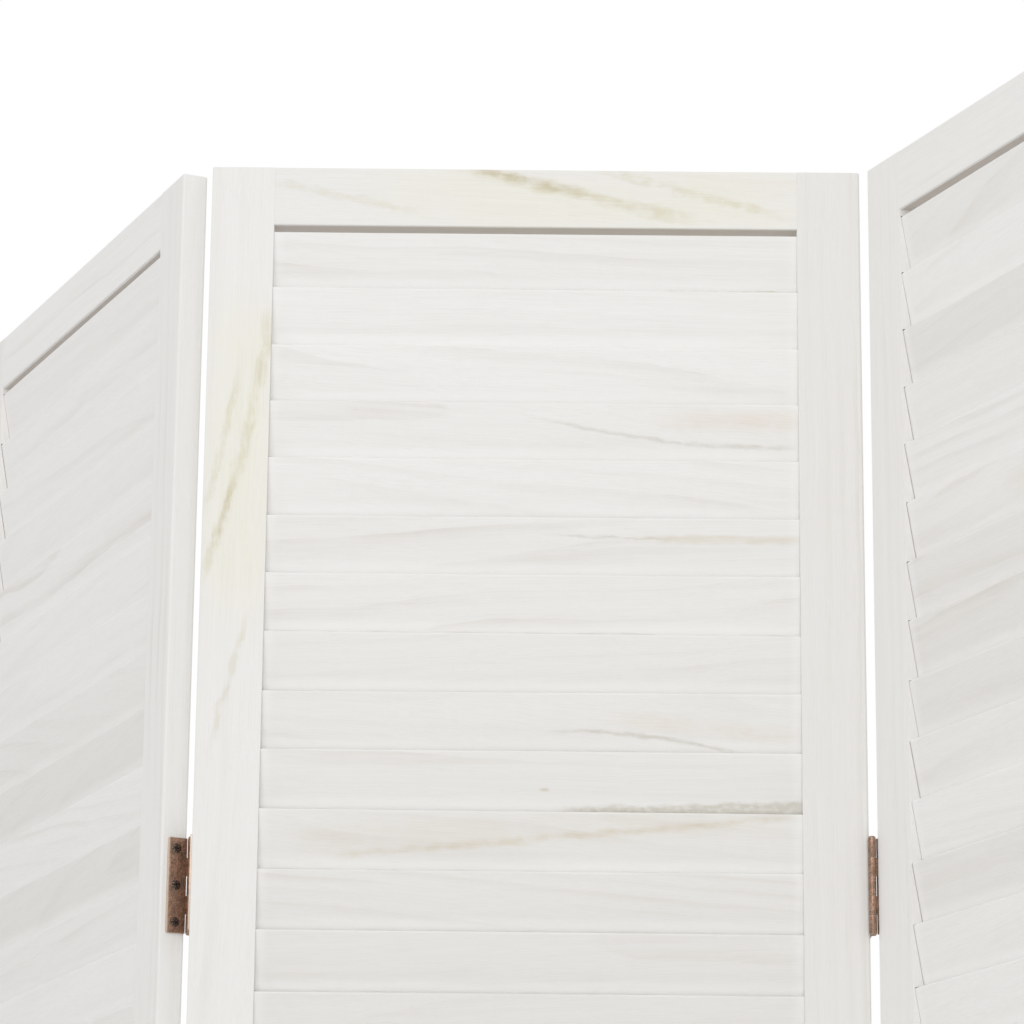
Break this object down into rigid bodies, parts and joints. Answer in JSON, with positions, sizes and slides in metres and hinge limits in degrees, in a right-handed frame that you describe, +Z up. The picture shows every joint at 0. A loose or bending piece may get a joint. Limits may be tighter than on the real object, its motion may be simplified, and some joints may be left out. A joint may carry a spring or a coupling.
{
  "type": "folding room divider screen",
  "caption": "Free-standing folding screen of louvred wooden panels, hinged at their edges with small butt hinges so that it stands in a zig-zag and folds flat.",
  "frame": {"origin": "the floor under the middle of the centre panel, which is the bottom centre of the whole screen as it stands", "axes": "+Z up, +X along the centre panel to the right as seen from the front, -Y the front, the side that the slats' upper edges look to"},
  "size_m": [0.6738, 0.6546, 1.65],
  "materials": {
    "whitewashed_frame": "white-washed light timber, matt, grain showing, a few yellowish streaks",
    "whitewashed_slats": "white-washed light timber, matt, grain showing",
    "bronze_hinges": "antique copper-bronze plating, mottled, satin",
    "bronze_screws": "dark antique bronze plating, satin",
    "dowel_wood": "plain beech, unfinished"
  },
  "bodies": {
    "left_panel": {"left_panel_left_stile": "whitewashed_frame", "left_panel_right_stile": "whitewashed_frame", "left_panel_bottom_rail": "whitewashed_frame", "left_panel_top_rail": "whitewashed_frame", "left_panel_slats_1": "whitewashed_slats", "left_panel_slats_2": "whitewashed_slats", "left_panel_slats_3": "whitewashed_slats", "left_panel_slats_4": "whitewashed_slats", "left_panel_slats_5": "whitewashed_slats", "left_panel_slats_6": "whitewashed_slats", "left_panel_hinge_screws": "bronze_screws", "left_panel_dowels": "dowel_wood", "left_hinge_lower_side_leaf": "bronze_hinges", "left_hinge_middle_side_leaf": "bronze_hinges", "left_hinge_upper_side_leaf": "bronze_hinges"},
    "centre_panel": {"centre_panel_left_stile": "whitewashed_frame", "centre_panel_right_stile": "whitewashed_frame", "centre_panel_bottom_rail": "whitewashed_frame", "centre_panel_top_rail": "whitewashed_frame", "centre_panel_slats_1": "whitewashed_slats", "centre_panel_slats_2": "whitewashed_slats", "centre_panel_slats_3": "whitewashed_slats", "centre_panel_slats_4": "whitewashed_slats", "centre_panel_slats_5": "whitewashed_slats", "centre_panel_slats_6": "whitewashed_slats", "centre_panel_hinge_screws": "bronze_screws", "centre_panel_dowels": "dowel_wood", "left_hinge_lower_centre_leaf": "bronze_hinges", "left_hinge_lower_pin": "bronze_hinges", "left_hinge_middle_centre_leaf": "bronze_hinges", "left_hinge_middle_pin": "bronze_hinges", "left_hinge_upper_centre_leaf": "bronze_hinges", "left_hinge_upper_pin": "bronze_hinges", "right_hinge_lower_centre_leaf": "bronze_hinges", "right_hinge_lower_pin": "bronze_hinges", "right_hinge_middle_centre_leaf": "bronze_hinges", "right_hinge_middle_pin": "bronze_hinges", "right_hinge_upper_centre_leaf": "bronze_hinges", "right_hinge_upper_pin": "bronze_hinges"},
    "right_panel": {"right_panel_left_stile": "whitewashed_frame", "right_panel_right_stile": "whitewashed_frame", "right_panel_bottom_rail": "whitewashed_frame", "right_panel_top_rail": "whitewashed_frame", "right_panel_slats_1": "whitewashed_slats", "right_panel_slats_2": "whitewashed_slats", "right_panel_slats_3": "whitewashed_slats", "right_panel_slats_4": "whitewashed_slats", "right_panel_slats_5": "whitewashed_slats", "right_panel_slats_6": "whitewashed_slats", "right_panel_hinge_screws": "bronze_screws", "right_panel_dowels": "dowel_wood", "right_hinge_lower_side_leaf": "bronze_hinges", "right_hinge_middle_side_leaf": "bronze_hinges", "right_hinge_upper_side_leaf": "bronze_hinges"}
  },
  "joints": [
    {"name": "left_fold", "type": "hinge", "parent": "centre_panel", "child": "left_panel", "pos_m": [-0.1763, 0.0092, 0], "axis": [0, 0, -1], "range_deg": [-65.4, 114.6]},
    {"name": "right_fold", "type": "hinge", "parent": "centre_panel", "child": "right_panel", "pos_m": [0.1763, -0.0092, 0], "axis": [0, 0, -1], "range_deg": [-65.4, 114.6]}
  ]
}
